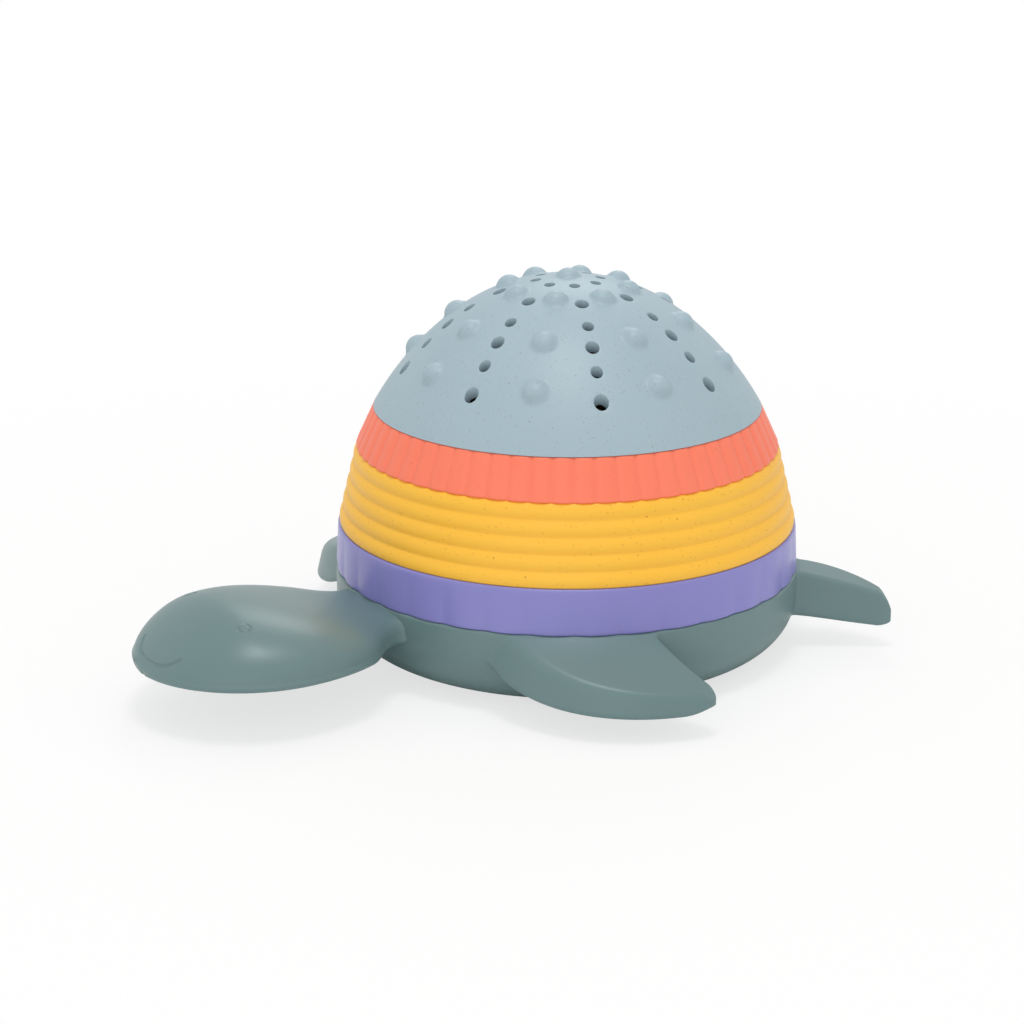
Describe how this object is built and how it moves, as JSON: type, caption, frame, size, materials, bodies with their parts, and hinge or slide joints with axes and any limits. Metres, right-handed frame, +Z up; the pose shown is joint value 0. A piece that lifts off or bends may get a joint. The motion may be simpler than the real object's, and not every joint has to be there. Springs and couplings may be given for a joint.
{
  "type": "stacking toy",
  "caption": "Turtle-shaped stacking toy: a bowl base with a head and flippers carries loose textured rings and a perforated, bumpy dome that nest on collars and lift off upwards.",
  "frame": {"origin": "centre of the base's flat foot, on the floor and on the stack's axis", "axes": "+Z up along the stack's axis, -X towards the head, +Y towards the turtle's right flippers"},
  "size_m": [0.1799, 0.1514, 0.0934],
  "materials": {
    "base": "satin, grey green",
    "lilac": "satin, lilac",
    "yellow": "satin, warm yellow with fine speckle",
    "coral": "satin, coral with fine speckle",
    "dome": "satin, pale blue grey with fine speckle"
  },
  "bodies": {
    "base": {"turtle_base": "base"},
    "lilac": {"lilac_ring": "lilac"},
    "yellow": {"yellow_ring": "yellow"},
    "coral": {"coral_ring": "coral"},
    "dome": {"dome_cap": "dome"}
  },
  "joints": [
    {"name": "lilac_lift", "type": "slide", "parent": "base", "child": "lilac", "axis": [0, 0, 1], "range_m": [0, 0.04]},
    {"name": "yellow_lift", "type": "slide", "parent": "lilac", "child": "yellow", "axis": [0, 0, 1], "range_m": [0, 0.04]},
    {"name": "coral_lift", "type": "slide", "parent": "yellow", "child": "coral", "axis": [0, 0, 1], "range_m": [0, 0.04]},
    {"name": "dome_lift", "type": "slide", "parent": "coral", "child": "dome", "axis": [0, 0, 1], "range_m": [0, 0.04]}
  ]
}
